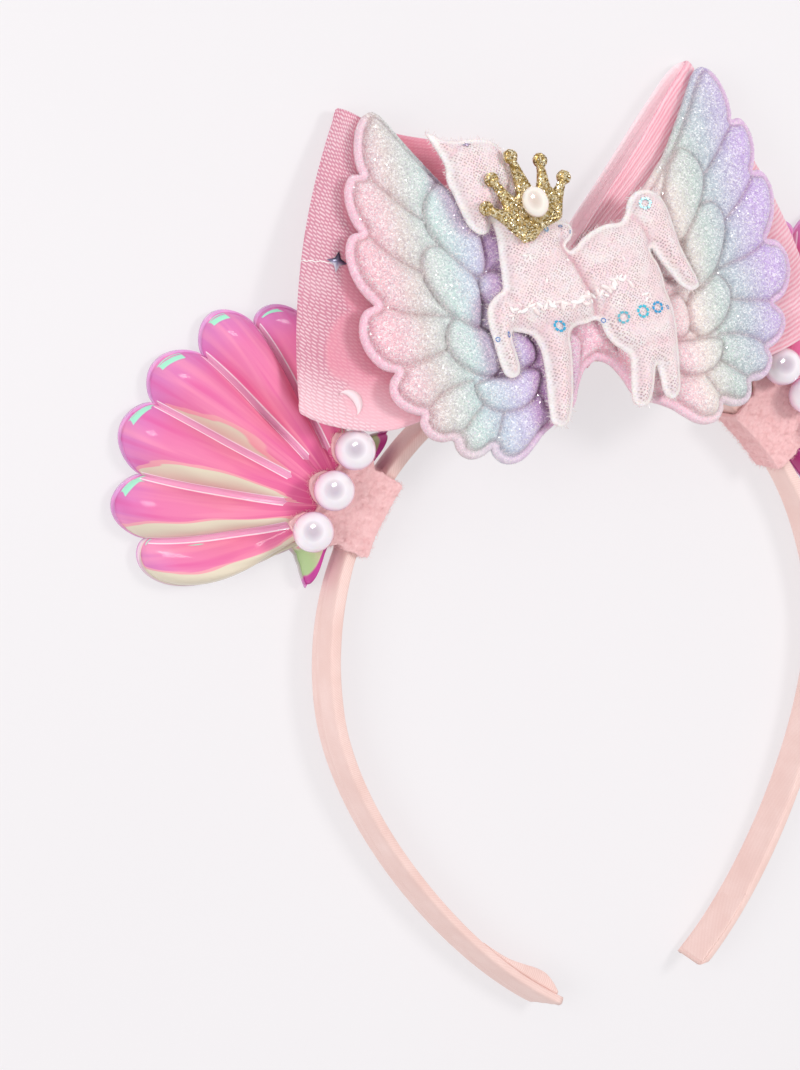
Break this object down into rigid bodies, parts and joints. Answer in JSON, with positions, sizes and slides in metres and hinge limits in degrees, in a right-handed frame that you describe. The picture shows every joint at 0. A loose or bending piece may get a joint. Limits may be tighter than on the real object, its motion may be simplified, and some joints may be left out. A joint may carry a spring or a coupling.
{
  "type": "decorated headband",
  "caption": "Satin-covered headband with a net bow, padded glitter wings, a small padded unicorn with a crown, and padded scallop shells with pearls at its sides",
  "frame": {"origin": "under the middle of the whole, on the surface that the headband lies on", "axes": "the headband lies on its back edge: +X across the head to the wearer's left, +Y from the tips to the top of the arch, +Z out of its front"},
  "size_m": [0.2046, 0.2074, 0.0293],
  "materials": {
    "satin": "pink satin ribbon wound over the band",
    "felt": "pink felt",
    "film": "iridescent pink film, heat-pressed over foam",
    "pearl": "pearl lacquer",
    "net": "pink knitted net ribbon",
    "glitter": "glitter cloth in pastel stripes, heat-pressed over foam",
    "plush": "pale pink net over white padding",
    "gold": "gold glitter sheet"
  },
  "bodies": {
    "root": {"headband": "satin", "felt_tab_left": "felt", "felt_tab_right": "felt", "pearl_left_1": "pearl", "pearl_left_2": "pearl", "pearl_left_3": "pearl", "pearl_right_1": "pearl", "pearl_right_2": "pearl", "pearl_right_3": "pearl", "shell_left": "film", "shell_right": "film", "bow_loop_left": "net", "bow_loop_right": "net", "bow_tie": "net", "wings": "glitter", "unicorn": "plush", "crown": "gold", "crown_pearl": "pearl"}
  },
  "joints": []
}
